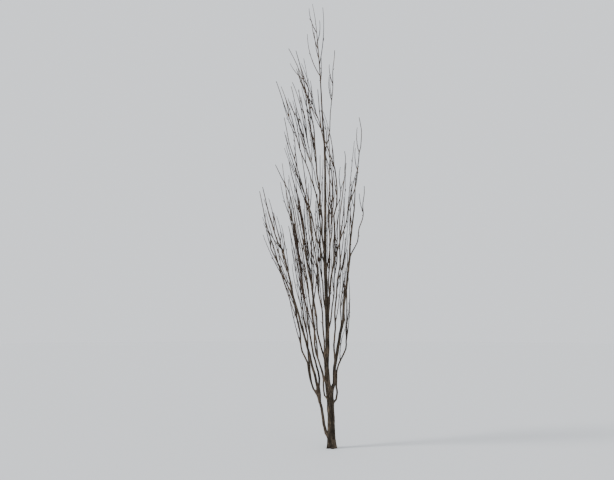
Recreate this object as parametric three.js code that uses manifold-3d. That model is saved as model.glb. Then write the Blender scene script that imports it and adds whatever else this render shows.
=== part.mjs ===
// A bare, fastigiate white mulberry tree in early spring. Millimetres, +Z up.
// The origin is the middle of the flat cut under the trunk. +X is the right of the front view, +Y its depth.
// Every limb runs on one line from its parent to its tip. Its lower part is the bough, a solid of its own,
// and its upper part is the stem of a mass of twigs, a second solid that starts 0.3 mm above the bough.

import * as THREE from 'three';
import Module from 'manifold-3d';

const wasm = await Module();
wasm.setup();

// Driving dimensions
const SEAT_GAP = 0.3; // between a limb and what carries it
const TREE_HEIGHT = 6360;
const LEADER_TOP = 5060; // where the trunk enters the top mass
const FOOT_FLARE = { radius: 24, height: 90, lobes: 5, depth: 0.45, turn: 0.6 };

// The trunk's middle at each height: height, x, y
const TRUNK_LEAN = [
  [0, 0, 0],
  [430, -4, 6],
  [650, -16, 4],
  [820, -43, 0],
  [1090, -60, -6],
  [1360, -47, -8],
  [1970, -57, 6],
  [2500, -73, 10],
  [3240, -69, -4],
  [4110, -73, -10],
  [4640, -105, 0],
  [5350, -141, 8],
  [6070, -199, 0],
  [TREE_HEIGHT, -246, 0],
];

// The trunk's diameter at each height
const TRUNK_GIRTH = [
  [0, 112],
  [300, 100],
  [620, 98],
  [820, 80],
  [1000, 70],
  [1300, 60],
  [1970, 53],
  [2500, 47],
  [3240, 36],
  [4110, 28],
  [LEADER_TOP, 19],
  [TREE_HEIGHT, 6],
];

// One row for each limb: its name, the limb that carries it, the height where it leaves that limb's middle,
// its tip (x, y, height), how far its middle bows off a straight line (x, y), its sway to each side of
// that bow, its elbow (how far it juts out just above its root), its girth at the root, the share of it
// that is bough, and the spread and the seed of the twigs round the rest.
const LIMB_ROWS = [
  ['left_outer', 'trunk', 90, [-968, 130, 3600], [20, 30], -20, 24, 42, 0.54, 125, 55],
  ['left_low', 'left_outer', 700, [-985, -250, 3450], [-25, -30], 40, 35, 27, 0.2, 130, 1],
  ['left_inner', 'left_outer', 1900, [-820, 370, 3270], [-10, 50], 0, 0, 16, 0.2, 125, 70],
  ['left_mid', 'left_outer', 600, [-775, -165, 3850], [72, 15], -40, -45, 30, 0.24, 135, 36],
  ['left_back', 'left_outer', 660, [-600, 430, 3080], [5, 50], -20, 40, 24, 0.2, 140, 15],
  ['left_front', 'trunk', 590, [-495, -430, 3340], [-10, -60], -38, 45, 23, 0.22, 135, 100],
  ['centre_left', 'trunk', 940, [-597, 230, 4031], [14, 58], -8, 35, 28, 0.2, 120, 95],
  ['front_left', 'trunk', 800, [-414, -330, 4013], [-25, -73], -40, 20, 26, 0.2, 125, 61],
  ['front_low', 'trunk', 1060, [-320, -570, 3200], [20, -70], 0, 20, 24, 0.18, 135, 101],
  ['left_high', 'trunk', 2430, [-665, 190, 4670], [0, 10], 24, 0, 21, 0.22, 118, 33],
  ['twin_leader', 'trunk', 2330, [-487, -150, 5550], [86, -30], -20, 0, 27, 0.42, 108, 21],
  ['upper_left_outer', 'twin_leader', 3120, [-765, -210, 5060], [22, -20], 8, 0, 18, 0.3, 110, 77],
  ['upper_left_front', 'upper_left_outer', 3480, [-548, -420, 4900], [18, -55], 5, 0, 11, 0.18, 100, 14],
  ['upper_left_back', 'twin_leader', 3480, [-545, 150, 5200], [26, 40], -28, 0, 12, 0.2, 100, 14],
  ['top_left', 'trunk', 3900, [-603, 190, 5750], [112, 10], 8, 0, 14, 0.24, 105, 55],
  ['top_right', 'trunk', 4010, [76, -90, 5585], [24, -10], 9, 0, 14, 0.22, 90, 84],
  ['centre_right', 'trunk', 2290, [-30, 200, 4530], [86, 40], 5, 0, 21, 0.22, 108, 44],
  ['right_parallel', 'trunk', 1790, [-60, -210, 4940], [118, -40], 4, -20, 27, 0.46, 112, 22],
  ['right_high', 'right_parallel', 2400, [417, -60, 4580], [112, -5], -12, 0, 19, 0.28, 112, 68],
  ['right_stem', 'trunk', 600, [424, 100, 3730], [14, 10], 14, -12, 50, 0.65, 120, 73],
  ['right_outer', 'right_stem', 2560, [512, 250, 3645], [64, 25], 6, 0, 18, 0.22, 105, 60],
  ['right_upper', 'right_parallel', 3160, [190, -350, 3990], [50, -25], -6, 0, 12, 0.2, 95, 72],
  ['right_front', 'right_stem', 930, [204, -430, 3800], [-23, -111], 22, 10, 26, 0.22, 140, 35],
  ['right_scaffold', 'trunk', 540, [250, 200, 2700], [92, 30], 12, 25, 27, 0.22, 135, 9],
  ['right_back', 'right_stem', 1430, [235, 410, 2880], [0, 60], 0, 10, 17, 0.18, 140, 17],
  ['back_right', 'trunk', 1480, [179, 470, 3666], [33, 119], 12, 10, 22, 0.2, 140, 20],
  ['back', 'trunk', 1620, [-129, 430, 4165], [-49, 108], -8, 10, 22, 0.2, 135, 24],
  ['front', 'trunk', 1390, [-19, -430, 3842], [6, -106], 9, 10, 22, 0.2, 135, 79],
];
const TIP_GIRTH = 9;

// Elbows of the limbs: at each height, how far the line is set aside (x), straight in between
const BENDS = {
  left_outer: [[90, 0], [190, -31], [370, -3], [500, 8], [630, 14], [730, 27], [790, 39], [900, 34],
    [1030, 27], [1220, 26], [1330, 8], [2200, 0], [2670, 0], [2800, -38], [2990, -38], [3190, -34],
    [3360, -20], [3600, 0]],
  left_low: [[700, 0], [765, -30], [900, -21], [1030, -19], [1120, -14], [1200, -26], [1270, -42],
    [1400, -34], [1560, -12], [1700, 3], [1830, 37], [1970, 52], [2110, 64], [2250, 56], [2390, 40],
    [2530, 11], [2670, -15], [2800, 18], [3200, 18], [3450, 5]],
  left_mid: [[600, 0], [790, -6], [900, 14], [1030, 12], [1160, 17], [1290, 10], [1430, 0], [2700, 0],
    [2990, 16], [3180, 45], [3360, 70], [3500, 68], [3670, 30], [3850, 5]],
  left_back: [[660, 0], [760, -22], [1030, -16], [1300, 0]],
  left_front: [[590, 0], [690, -30], [770, -8], [900, 18], [1030, 18], [1160, 8], [1300, 0], [1830, -19],
    [2100, -22], [2230, -39], [2370, -56], [2780, -57], [3340, -30]],
  centre_left: [[940, 0], [1030, 18], [1160, 40], [1230, 32], [1300, 14], [1430, 8], [1560, 0], [2700, 0],
    [3000, 20], [3200, 28], [3500, 30], [3800, 0]],
  front_left: [[800, 0], [870, -15], [1010, -17], [1090, -33], [1170, -46], [1250, -54], [1430, -42],
    [1690, -42], [2300, 0]],
  left_high: [[2430, 0], [2670, -10], [2800, -30], [3100, -28], [3500, 0]],
  right_high: [[2400, 0], [2660, -26], [2810, -22], [3000, -10], [3200, -16], [3600, 0], [3880, -6],
    [4070, 8], [4140, 24], [4400, 24], [4580, 5]],
  right_parallel: [[1790, 0], [3130, 0], [3270, 25], [3530, 28], [3680, 15], [3820, 0], [3950, -28],
    [4050, -53], [4150, -78], [4220, -108], [4340, -128], [4630, -135], [4940, -115]],
  right_stem: [[600, 0], [760, 8], [840, 16], [930, 8], [1030, -6], [1160, -14], [1300, -24], [1430, -8],
    [1700, 14], [2200, 0], [3100, 0], [3260, -6], [3480, -28], [3730, -55]],
  right_scaffold: [[540, 0], [630, 36], [710, 18], [790, -19], [900, -36], [1010, -50], [1090, -44],
    [1160, -24], [1230, 12], [1300, 40], [1360, 44], [1500, 25], [1640, 0]],
  right_front: [[930, 0], [1030, -4], [1160, -22], [1300, -36], [1500, -48], [1750, -45], [2400, 0]],
};
const UNBENT = [[0, 0], [TREE_HEIGHT, 0]]; // for a limb without elbows

// Twigs of a mass. Whips branch from its stem and bend up beside it, and spurs are short shoots on the whips.
// Each kind grows along its carrier until the given share, and the rest is a bare tip.
const WHIPS = {
  spacing: 250, until: 0.74, share: 1.0, shortest: 200, steepest: 0.5, lift: 1.1, girth: 14,
};
const SPURS = {
  spacing: 300, until: 0.9, share: 0.12, shortest: 50, steepest: 0.6, lift: 0.6, girth: 8, from: 0.2,
  seeds: 50,
};
const UPPER_WHIPS = { ...WHIPS, spacing: 220 }; // on limbs with a tip above UPPER_FROM
const UPPER_FROM = 4300;
const TOP_MASS = { spread: 260, whips: { ...WHIPS, spacing: 125, share: 0.8 }, seed: 13 };
const TWIG_TIP_GIRTH = 7;
// A twig that does not fit is tried again turned further round, and then shorter
const TWIG_CUTS = [1, 0.7, 0.5];
const TWIG_TURNS = [0, 2.1, 4.2];
// How far the seeded numbers change a twig: the lowest value and what is added up to the highest
const VARIED = {
  place: [0.3, 0.5], turn: [0, 0.8], length: [0.4, 0.8], reach: [0.55, 0.4], lean: [0.75, 0.25],
};
const CROWN_MIDDLE = -90; // x of the crown's middle
const TWIG_CLEARANCE = 5; // to every limb that is not its own
const SPACE_MARGIN = 9; // between the twigs of two masses
const TESTED_PLACES = [0.2, 0.4, 0.6, 0.8, 1]; // shares of a twig's length where its space is tested

// Facets
const TRUNK_SIDES = 12;
const BOUGH_SIDES = 6;
const STEM_SIDES = 4;
const TWIG_SIDES = 3;
const TRUNK_STEP = 190;
const BOUGH_STEP = 100;
const STEM_STEP = 120;
const TWIG_STEP = 190;
const FEWEST_STEPS = 4;
const MOST_TWIG_STEPS = 3;
const LINE_SAMPLES = 24; // points along a limb for the tests of space

// Lines
const ELBOW_SHARE = 0.1; // where a limb juts out most
const TAPER = 0.7;
const OLD_GIRTH = 22; // boughs thicker than this have the trunk's bark
const WOBBLE = { size: 10, waves: 2.7 };
const KINKS = { size: 9, lengths: [430, 560] }; // lengths of a whole zigzag, across and in depth
const GOLDEN_ANGLE = Math.PI * (3 - Math.sqrt(5));
const FRAME_STEP = 0.002; // share of a line over which its direction is taken

// Materials
const oldBark = new THREE.MeshStandardMaterial({ color: 0x5a4c43, roughness: 0.95, metalness: 0 });
const youngBark = new THREE.MeshStandardMaterial({ color: 0x66513f, roughness: 0.9, metalness: 0 });
const twigBark = new THREE.MeshStandardMaterial({ color: 0x6b4a36, roughness: 0.85, metalness: 0 });

// A repeatable stream of numbers between 0 and 1, by a linear rule on whole numbers of 32 bits
const STREAM = { spread: 2654435761, factor: 1664525, step: 1013904223, size: 2 ** 32 };

function randomStream(seed) {
  let state = Math.imul(seed + 1, STREAM.spread) >>> 0;
  return () => {
    state = (Math.imul(state, STREAM.factor) + STREAM.step) >>> 0;
    return state / STREAM.size;
  };
}

// A smooth curve through rows that start with a height, read at one height
function readRows(rows, height) {
  let k = 0;
  while (k < rows.length - 2 && height > rows[k + 1][0]) k += 1;
  const [from, to] = [rows[k], rows[k + 1]];
  const before = rows[Math.max(k - 1, 0)];
  const after = rows[Math.min(k + 2, rows.length - 1)];
  const span = to[0] - from[0];
  const u = (height - from[0]) / span;
  return from.slice(1).map((start, column) => {
    const value = (row) => row[column + 1];
    const slopeIn = ((value(to) - value(before)) / (to[0] - before[0])) * span;
    const slopeOut = ((value(after) - start) / (after[0] - from[0])) * span;
    const rise = value(to) - start;
    return start + u * slopeIn + u * u * (3 * rise - 2 * slopeIn - slopeOut)
      + u * u * u * (slopeIn + slopeOut - 2 * rise);
  });
}

// The line of the trunk, whose parameter is the share of the tree's height
class TrunkLine extends THREE.Curve {
  constructor() {
    super();
    this.foot = 0;
    this.head = TREE_HEIGHT;
  }

  getPoint(t) {
    const height = t * TREE_HEIGHT;
    return new THREE.Vector3(...readRows(TRUNK_LEAN, height), height);
  }

  radiusAt(t) {
    return readRows(TRUNK_GIRTH, t * TREE_HEIGHT)[0] / 2;
  }
}

// A wave of straight legs between -1 and 1
function zigzag(angle) {
  return (2 / Math.PI) * Math.asin(Math.sin(angle));
}

// Reads rows of [height, value] at one height, straight between rows
function readStraight(rows, height) {
  let k = 0;
  while (k < rows.length - 2 && height > rows[k + 1][0]) k += 1;
  const [[low, from], [high, to]] = rows.slice(k, k + 2);
  const share = THREE.MathUtils.clamp((height - low) / (high - low), 0, 1);
  return from + (to - from) * share;
}

// The line of a limb: straight from its parent to its tip, with a bow, a sway, a slow wobble and kinks.
// Its height grows evenly with t.
class LimbLine extends THREE.Curve {
  constructor(row, parent, seed) {
    super();
    this.foot = row.leaves;
    this.head = row.tip[2];
    this.root = parent.getPoint((row.leaves - parent.foot) / (parent.head - parent.foot));
    this.tip = new THREE.Vector3(...row.tip);
    Object.assign(this, { bow: row.bow, sway: row.sway, girth: row.girth });
    this.bends = BENDS[row.name] ?? UNBENT;
    const outward = this.tip.clone().sub(this.root).setZ(0).normalize();
    this.elbow = outward.multiplyScalar(row.elbow);
    const random = randomStream(seed);
    this.phases = [random(), random()].map((share) => share * 2 * Math.PI);
  }

  getPoint(t) {
    const point = this.root.clone().lerp(this.tip, t);
    const belly = 4 * t * (1 - t);
    const run = 2 * Math.PI * t * (this.head - this.foot);
    const kinked = KINKS.size * Math.min(t / ELBOW_SHARE, 1) * (1 - t);
    const [aside, deeper] = this.phases.map((phase, axis) => (
      WOBBLE.size * belly * Math.sin(WOBBLE.waves * 2 * Math.PI * t + phase)
        + kinked * zigzag(run / KINKS.lengths[axis] + phase)
    ));
    const bent = readStraight(this.bends, this.foot + (this.head - this.foot) * t);
    point.x += this.bow[0] * belly + this.sway * Math.sin(2 * Math.PI * t) + aside + bent;
    point.y += this.bow[1] * belly + deeper;
    const rise = t / ELBOW_SHARE;
    return point.addScaledVector(this.elbow, rise * Math.exp(1 - rise) * (1 - t));
  }

  radiusAt(t) {
    return (TIP_GIRTH + (this.girth - TIP_GIRTH) * (1 - t) ** TAPER) / 2;
  }
}

// The line of a twig: it starts along one direction and bends towards that of its stem
class TwigLine extends THREE.Curve {
  constructor(root, away, along, length, lift) {
    super();
    Object.assign(this, { root, away, along, length, lift });
  }

  getPoint(t) {
    const turned = (this.lift * t * t) / 2;
    return this.root.clone()
      .addScaledVector(this.away, this.length * (t - turned))
      .addScaledVector(this.along, this.length * turned);
  }
}

// The direction of a line at t, and two directions across it
function frameAt(line, t) {
  const [before, after] = [Math.max(t - FRAME_STEP, 0), Math.min(t + FRAME_STEP, 1)];
  const along = line.getPoint(after).sub(line.getPoint(before)).normalize();
  const across = new THREE.Vector3(1, 0, 0).addScaledVector(along, -along.x).normalize();
  return { along, across, other: new THREE.Vector3().crossVectors(along, across) };
}

// A closed faceted tube along a line. It ends in a flat face, or in a point.
function tubeSolid(line, { from = 0, to = 1, sides, steps, radiusAt, pointed = false, level = false }) {
  const corners = [];
  const faces = [];
  const rings = pointed ? steps : steps + 1;
  for (let k = 0; k < rings; k += 1) {
    const t = from + ((to - from) * k) / steps;
    const middle = line.getPoint(t);
    const { across, other } = level
      ? { across: new THREE.Vector3(1, 0, 0), other: new THREE.Vector3(0, 1, 0) }
      : frameAt(line, t);
    for (let side = 0; side < sides; side += 1) {
      const angle = (side / sides) * 2 * Math.PI;
      const radius = radiusAt(t, angle);
      const corner = middle.clone()
        .addScaledVector(across, radius * Math.cos(angle))
        .addScaledVector(other, radius * Math.sin(angle));
      corners.push(corner.x, corner.y, corner.z);
    }
  }
  for (let k = 0; k < rings - 1; k += 1) {
    for (let side = 0; side < sides; side += 1) {
      const a = k * sides + side;
      const b = k * sides + ((side + 1) % sides);
      faces.push(a, b, b + sides, a, b + sides, a + sides);
    }
  }
  const last = (rings - 1) * sides;
  for (let side = 1; side < sides - 1; side += 1) {
    faces.push(0, side + 1, side);
    if (!pointed) faces.push(last, last + side, last + side + 1);
  }
  if (pointed) {
    const end = line.getPoint(to);
    corners.push(end.x, end.y, end.z);
    for (let side = 0; side < sides; side += 1) {
      faces.push(last + side, last + ((side + 1) % sides), last + sides);
    }
  }
  return new wasm.Manifold(new wasm.Mesh({
    numProp: 3,
    vertProperties: new Float32Array(corners),
    triVerts: new Uint32Array(faces),
  }));
}

// The largest body of a cut solid, without the scraps that a grazing cut leaves
function largestBody(solid) {
  const bodies = solid.decompose();
  return bodies.reduce((best, body) => (body.volume() > best.volume() ? body : best));
}

function namedMesh(name, solid, material) {
  const { vertProperties, triVerts } = solid.getMesh();
  const geometry = new THREE.BufferGeometry();
  geometry.setAttribute('position', new THREE.BufferAttribute(vertProperties, 3));
  geometry.setIndex(new THREE.BufferAttribute(triVerts, 1));
  geometry.computeVertexNormals();
  const mesh = new THREE.Mesh(geometry, material);
  mesh.name = name;
  return mesh;
}

// Trunk
const trunkLine = new TrunkLine();

function trunkRadius(t, angle, grown) {
  const height = t * TREE_HEIGHT;
  const { radius, height: reach, lobes, depth, turn } = FOOT_FLARE;
  const lobe = 1 - depth + depth * Math.cos(lobes * angle + turn);
  return trunkLine.radiusAt(t) + radius * lobe * Math.exp(-height / reach) + grown;
}

function trunkSolid(grown) {
  return tubeSolid(trunkLine, {
    to: LEADER_TOP / TREE_HEIGHT,
    sides: TRUNK_SIDES,
    steps: Math.round(LEADER_TOP / TRUNK_STEP),
    radiusAt: (t, angle) => trunkRadius(t, angle, grown),
    level: true,
  });
}

// Boughs
const LIMBS = LIMB_ROWS.map(([name, on, leaves, tip, bow, sway, elbow, girth, enters, spread, seed]) => (
  { name, on, leaves, tip, bow, sway, elbow, girth, enters, spread, seed }
));
const lines = { trunk: trunkLine };
LIMBS.forEach((row, index) => {
  lines[row.name] = new LimbLine(row, lines[row.on], index);
});

function boughSolid(row, grown) {
  const line = lines[row.name];
  const run = (line.head - line.foot) * row.enters;
  return tubeSolid(line, {
    to: row.enters,
    sides: BOUGH_SIDES,
    steps: Math.max(FEWEST_STEPS, Math.round(run / BOUGH_STEP)),
    radiusAt: (t) => line.radiusAt(t) + grown,
  });
}

// Stems of the masses: each goes on along its limb from just above the end of the bough
const masses = LIMBS.map(({ name, enters, spread, seed }) => {
  const line = lines[name];
  const whips = line.head > UPPER_FROM ? UPPER_WHIPS : WHIPS;
  return { name, limb: name, line, from: enters, spread, whips, seed };
});
masses.push({ name: 'top', limb: 'trunk', line: trunkLine, from: LEADER_TOP / TREE_HEIGHT, ...TOP_MASS });

function sampled(line, from, to) {
  const points = [];
  for (let k = 0; k <= LINE_SAMPLES; k += 1) {
    const t = from + ((to - from) * k) / LINE_SAMPLES;
    points.push({ place: line.getPoint(t), radius: line.radiusAt(t) });
  }
  return points;
}

// The nearest distance from a place to a sampled line, to its skin where asked
function distanceTo(points, place, toSkin) {
  let nearest = Infinity;
  const leg = new THREE.Line3();
  const foot = new THREE.Vector3();
  for (let k = 0; k < points.length - 1; k += 1) {
    leg.set(points[k].place, points[k + 1].place);
    leg.closestPointToPoint(place, true, foot);
    const distance = foot.distanceTo(place) - (toSkin ? points[k].radius : 0);
    nearest = Math.min(nearest, distance);
  }
  return nearest;
}

const wholeLimbs = Object.entries(lines).map(([name, line]) => ({ name, points: sampled(line, 0, 1) }));
const stems = masses.map((mass) => ({ name: mass.name, points: sampled(mass.line, mass.from, 1) }));

function fromMiddle(place) {
  return Math.hypot(place.x - CROWN_MIDDLE, place.y);
}

// A twig keeps within reach of its own stem, no higher and no further out than that stem's tip.
// It stays nearer to its own stem than to any other, and clear of every other limb.
function fits(twig, mass, girth) {
  const own = stems.find((stem) => stem.name === mass.name);
  const tip = mass.line.getPoint(1);
  const furthest = Math.max(fromMiddle(tip), 2 * mass.spread);
  for (const t of TESTED_PLACES) {
    const place = twig.getPoint(t);
    const reach = distanceTo(own.points, place, false);
    if (reach > mass.spread || place.z > tip.z || fromMiddle(place) > furthest) return false;
    for (const stem of stems) {
      if (stem !== own && distanceTo(stem.points, place, false) < reach + SPACE_MARGIN) return false;
    }
    for (const limb of wholeLimbs) {
      const room = limb.name === mass.limb ? Infinity : distanceTo(limb.points, place, true);
      if (room < TWIG_CLEARANCE + girth) return false;
    }
  }
  return true;
}

function varied([lowest, added], share) {
  return lowest + added * share;
}

// Twigs along one line, by one rule: evenly spaced, each turned by the golden angle, with seeded changes.
// A twig leans out just so far that its reach stays within the spread.
function shootsAlong(line, { from, rule, seed, mass }) {
  const shoots = [];
  const random = randomStream(seed);
  const run = line.getPoint(from).distanceTo(line.getPoint(1));
  const count = Math.floor((rule.until * run) / rule.spacing);
  for (let k = 0; k < count; k += 1) {
    const [shift, twist, longer, wider] = [random(), random(), random(), random()];
    const along = (rule.until * (k + varied(VARIED.place, shift))) / (count + VARIED.place[0]);
    const t = from + (1 - from) * along;
    const firstTurn = k * GOLDEN_ANGLE + seed + varied(VARIED.turn, twist);
    const wanted = Math.max(rule.shortest, rule.share * run * (1 - along) * varied(VARIED.length, longer));
    const frame = frameAt(line, t);
    const tries = TWIG_CUTS.flatMap((cut) => TWIG_TURNS.map((more) => [wanted * cut, firstTurn + more]));
    for (const [length, turn] of tries) {
      const reach = (mass.spread * varied(VARIED.reach, wider)) / (length * (1 - rule.lift / 2));
      const lean = Math.min(Math.asin(Math.min(reach, 1)), rule.steepest * varied(VARIED.lean, wider));
      const away = frame.along.clone().multiplyScalar(Math.cos(lean))
        .addScaledVector(frame.across, Math.sin(lean) * Math.cos(turn))
        .addScaledVector(frame.other, Math.sin(lean) * Math.sin(turn));
      const twig = new TwigLine(line.getPoint(t), away, frame.along, length, rule.lift);
      if (length >= rule.shortest && fits(twig, mass, rule.girth)) {
        shoots.push(twig);
        break;
      }
    }
  }
  return shoots;
}

function twigSolid(twig, girth) {
  return tubeSolid(twig, {
    sides: TWIG_SIDES,
    steps: Math.min(MOST_TWIG_STEPS, 1 + Math.floor(twig.length / TWIG_STEP)),
    radiusAt: (t) => (girth + (TWIG_TIP_GIRTH - girth) * t) / 2,
    pointed: true,
  });
}

function massSolid(mass) {
  const { line, from, seed } = mass;
  const length = line.getPoint(from).distanceTo(line.getPoint(1));
  const start = from + (SEAT_GAP / length) * (1 - from);
  const stem = tubeSolid(line, {
    from: start,
    sides: STEM_SIDES,
    steps: Math.max(FEWEST_STEPS, Math.round(length / STEM_STEP)),
    radiusAt: (t) => line.radiusAt(t),
    pointed: true,
    level: line === trunkLine,
  });
  const whips = shootsAlong(line, { from: start, rule: mass.whips, seed, mass });
  const solids = [stem, ...whips.map((whip) => twigSolid(whip, mass.whips.girth))];
  whips.forEach((whip, index) => {
    const spurs = shootsAlong(whip, {
      from: SPURS.from, rule: SPURS, seed: seed * SPURS.seeds + index, mass,
    });
    solids.push(...spurs.map((spur) => twigSolid(spur, SPURS.girth)));
  });
  return largestBody(wasm.Manifold.union(solids));
}

// The tree
const tree = new THREE.Group();
tree.add(namedMesh('trunk', trunkSolid(0), oldBark));

const grownLimbs = { trunk: trunkSolid(SEAT_GAP) };
LIMBS.forEach((row) => {
  const cutters = Object.values(grownLimbs);
  const bough = largestBody(boughSolid(row, 0).subtract(wasm.Manifold.union(cutters)));
  tree.add(namedMesh(`bough_${row.name}`, bough, row.girth > OLD_GIRTH ? oldBark : youngBark));
  grownLimbs[row.name] = boughSolid(row, SEAT_GAP);
});

masses.forEach((mass) => {
  tree.add(namedMesh(`mass_${mass.name}`, massSolid(mass), twigBark));
});

export default tree;
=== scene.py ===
# Looks of a bare, fastigiate white mulberry tree in early spring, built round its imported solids.
import math

import bpy
import numpy as np
from bpy.props import FloatProperty, FloatVectorProperty, IntProperty, PointerProperty
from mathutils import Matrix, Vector


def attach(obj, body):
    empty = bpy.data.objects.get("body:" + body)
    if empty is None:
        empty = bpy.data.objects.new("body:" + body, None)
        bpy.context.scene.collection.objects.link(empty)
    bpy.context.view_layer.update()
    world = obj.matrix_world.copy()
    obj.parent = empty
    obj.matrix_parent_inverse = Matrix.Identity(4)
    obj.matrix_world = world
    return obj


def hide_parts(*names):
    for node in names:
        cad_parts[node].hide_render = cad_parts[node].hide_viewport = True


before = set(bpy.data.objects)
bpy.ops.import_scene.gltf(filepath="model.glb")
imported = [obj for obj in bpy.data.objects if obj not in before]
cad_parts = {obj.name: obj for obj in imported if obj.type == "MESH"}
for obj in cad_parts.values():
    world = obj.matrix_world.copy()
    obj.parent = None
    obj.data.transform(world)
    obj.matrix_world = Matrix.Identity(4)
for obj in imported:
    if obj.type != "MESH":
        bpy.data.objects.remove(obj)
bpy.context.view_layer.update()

bl_info = {
    "name": "Fastigiate Mulberry Tree",
    "version": (1, 0, 0),
    "blender": (4, 5, 0),
    "location": "3D View > Sidebar > Mulberry",
    "description": "Bark, twigs and buds of a bare, fastigiate white mulberry tree",
    "category": "Add Mesh",
}

# Shapes are worked out in millimetres, and meshes are made in metres
MM = 0.001

# Driving dimensions, the same as for the solids
SEAT_GAP = 0.3
TREE_HEIGHT = 6360
LEADER_TOP = 5060
FLARE_RADIUS, FLARE_HEIGHT, FLARE_LOBES, FLARE_DEPTH, FLARE_TURN = 24, 90, 5, 0.45, 0.6
TIP_GIRTH = 9
ELBOW_SHARE = 0.1
TAPER = 0.7
WOBBLE_SIZE, WOBBLE_WAVES = 10, 2.7
KINK_SIZE, KINK_LENGTHS = 9, (430, 560)
GOLDEN_ANGLE = math.pi * (3 - math.sqrt(5))

# The trunk's middle at each height: height, x, y
TRUNK_LEAN = (
    (0, 0, 0), (430, -4, 6), (650, -16, 4), (820, -43, 0), (1090, -60, -6), (1360, -47, -8), (1970, -57, 6),
    (2500, -73, 10), (3240, -69, -4), (4110, -73, -10), (4640, -105, 0), (5350, -141, 8), (6070, -199, 0),
    (TREE_HEIGHT, -246, 0),
)
# The trunk's diameter at each height
TRUNK_GIRTH = (
    (0, 112), (300, 100), (620, 98), (820, 80), (1000, 70), (1300, 60), (1970, 53), (2500, 47), (3240, 36),
    (4110, 28), (LEADER_TOP, 19), (TREE_HEIGHT, 6),
)
# Each limb: its name, the limb that carries it, the height of its fork, its tip, its bow (x, y), sway, elbow
# and girth, the share of it below its mass of twigs, and the spread and the seed of that mass
LIMB_ROWS = (
    ("left_outer", "trunk", 90, (-968, 130, 3600), (20, 30), -20, 24, 42, 0.54, 125, 55),
    ("left_low", "left_outer", 700, (-985, -250, 3450), (-25, -30), 40, 35, 27, 0.2, 130, 1),
    ("left_inner", "left_outer", 1900, (-820, 370, 3270), (-10, 50), 0, 0, 16, 0.2, 125, 70),
    ("left_mid", "left_outer", 600, (-775, -165, 3850), (72, 15), -40, -45, 30, 0.24, 135, 36),
    ("left_back", "left_outer", 660, (-600, 430, 3080), (5, 50), -20, 40, 24, 0.2, 140, 15),
    ("left_front", "trunk", 590, (-495, -430, 3340), (-10, -60), -38, 45, 23, 0.22, 135, 100),
    ("centre_left", "trunk", 940, (-597, 230, 4031), (14, 58), -8, 35, 28, 0.2, 120, 95),
    ("front_left", "trunk", 800, (-414, -330, 4013), (-25, -73), -40, 20, 26, 0.2, 125, 61),
    ("front_low", "trunk", 1060, (-320, -570, 3200), (20, -70), 0, 20, 24, 0.18, 135, 101),
    ("left_high", "trunk", 2430, (-665, 190, 4670), (0, 10), 24, 0, 21, 0.22, 118, 33),
    ("twin_leader", "trunk", 2330, (-487, -150, 5550), (86, -30), -20, 0, 27, 0.42, 108, 21),
    ("upper_left_outer", "twin_leader", 3120, (-765, -210, 5060), (22, -20), 8, 0, 18, 0.3, 110, 77),
    ("upper_left_front", "upper_left_outer", 3480, (-548, -420, 4900), (18, -55), 5, 0, 11, 0.18, 100, 14),
    ("upper_left_back", "twin_leader", 3480, (-545, 150, 5200), (26, 40), -28, 0, 12, 0.2, 100, 14),
    ("top_left", "trunk", 3900, (-603, 190, 5750), (112, 10), 8, 0, 14, 0.24, 105, 55),
    ("top_right", "trunk", 4010, (76, -90, 5585), (24, -10), 9, 0, 14, 0.22, 90, 84),
    ("centre_right", "trunk", 2290, (-30, 200, 4530), (86, 40), 5, 0, 21, 0.22, 108, 44),
    ("right_parallel", "trunk", 1790, (-60, -210, 4940), (118, -40), 4, -20, 27, 0.46, 112, 22),
    ("right_high", "right_parallel", 2400, (417, -60, 4580), (112, -5), -12, 0, 19, 0.28, 112, 68),
    ("right_stem", "trunk", 600, (424, 100, 3730), (14, 10), 14, -12, 50, 0.65, 120, 73),
    ("right_outer", "right_stem", 2560, (512, 250, 3645), (64, 25), 6, 0, 18, 0.22, 105, 60),
    ("right_upper", "right_parallel", 3160, (190, -350, 3990), (50, -25), -6, 0, 12, 0.2, 95, 72),
    ("right_front", "right_stem", 930, (204, -430, 3800), (-23, -111), 22, 10, 26, 0.22, 140, 35),
    ("right_scaffold", "trunk", 540, (250, 200, 2700), (92, 30), 12, 25, 27, 0.22, 135, 9),
    ("right_back", "right_stem", 1430, (235, 410, 2880), (0, 60), 0, 10, 17, 0.18, 140, 17),
    ("back_right", "trunk", 1480, (179, 470, 3666), (33, 119), 12, 10, 22, 0.2, 140, 20),
    ("back", "trunk", 1620, (-129, 430, 4165), (-49, 108), -8, 10, 22, 0.2, 135, 24),
    ("front", "trunk", 1390, (-19, -430, 3842), (6, -106), 9, 10, 22, 0.2, 135, 79),
)
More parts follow.
